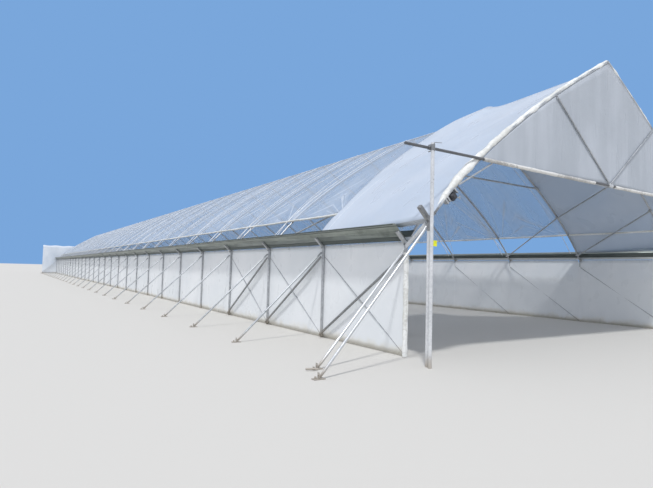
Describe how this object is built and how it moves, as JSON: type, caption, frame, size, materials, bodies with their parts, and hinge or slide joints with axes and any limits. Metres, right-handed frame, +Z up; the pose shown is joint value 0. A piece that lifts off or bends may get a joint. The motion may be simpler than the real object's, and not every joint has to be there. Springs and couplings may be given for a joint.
{
  "type": "polytunnel greenhouse, 1:2 scale model",
  "caption": "Long film-covered tunnel greenhouse on posts with pointed hoops, side gutters, vent gaps, outside stays and an open raised front end; 1:2 scale model.",
  "frame": {"origin": "on the ground, under the middle of the tunnel's length and width", "axes": "+X to the right seen from the open front, +Y along the tunnel from the open front to the screened back, +Z up"},
  "size_m": [7.4366, 39.0868, 3.1388],
  "materials": {
    "galvanised_tube": "galvanised, satin, faintly spangled",
    "gutter_steel": "galvanised sheet, smooth, reflecting",
    "roof_film": "translucent polythene, satin",
    "front_film": "milky polythene, satin",
    "gable_film": "milky polythene, satin",
    "wall_film": "milky polythene, satin, dusty at its foot",
    "screen_film": "milky polythene, satin",
    "hem": "white film rolled on a tube"
  },
  "bodies": {
    "root": {"back_gable_sheet": "gable_film", "back_screen_film": "screen_film", "back_screen_posts": "galvanised_tube", "collar_tie": "galvanised_tube", "front_eave_bars": "galvanised_tube", "front_gable_sheet": "gable_film", "front_post_heads": "galvanised_tube", "front_ridge_sleeve": "galvanised_tube", "gable_beam": "galvanised_tube", "gable_centre_clamp": "galvanised_tube", "gable_struts": "galvanised_tube", "knee_braces": "galvanised_tube", "left_front_hoop": "galvanised_tube", "left_front_sheet": "front_film", "left_ground_anchors": "galvanised_tube", "left_gutter_inner_wing": "gutter_steel", "left_gutter_outer_wing": "gutter_steel", "left_hem_tube": "hem", "left_hoops": "galvanised_tube", "left_inner_wall_braces": "galvanised_tube", "left_outer_wall_braces": "galvanised_tube", "left_post_heads": "galvanised_tube", "left_posts": "galvanised_tube", "left_roof_braces": "galvanised_tube", "left_roof_film": "roof_film", "left_stays": "galvanised_tube", "left_wall_film": "wall_film", "ridge_tube": "galvanised_tube", "right_front_hoop": "galvanised_tube", "right_front_sheet": "front_film", "right_ground_anchors": "galvanised_tube", "right_gutter_inner_wing": "gutter_steel", "right_gutter_outer_wing": "gutter_steel", "right_hem_tube": "hem", "right_hoops": "galvanised_tube", "right_inner_wall_braces": "galvanised_tube", "right_outer_wall_braces": "galvanised_tube", "right_post_heads": "galvanised_tube", "right_posts": "galvanised_tube", "right_roof_braces": "galvanised_tube", "right_roof_film": "roof_film", "right_stays": "galvanised_tube", "right_wall_film": "wall_film", "short_front_posts": "galvanised_tube", "tall_front_posts": "galvanised_tube", "vent_winch": "galvanised_tube", "wall_corner_edges": "wall_film"}
  },
  "joints": []
}
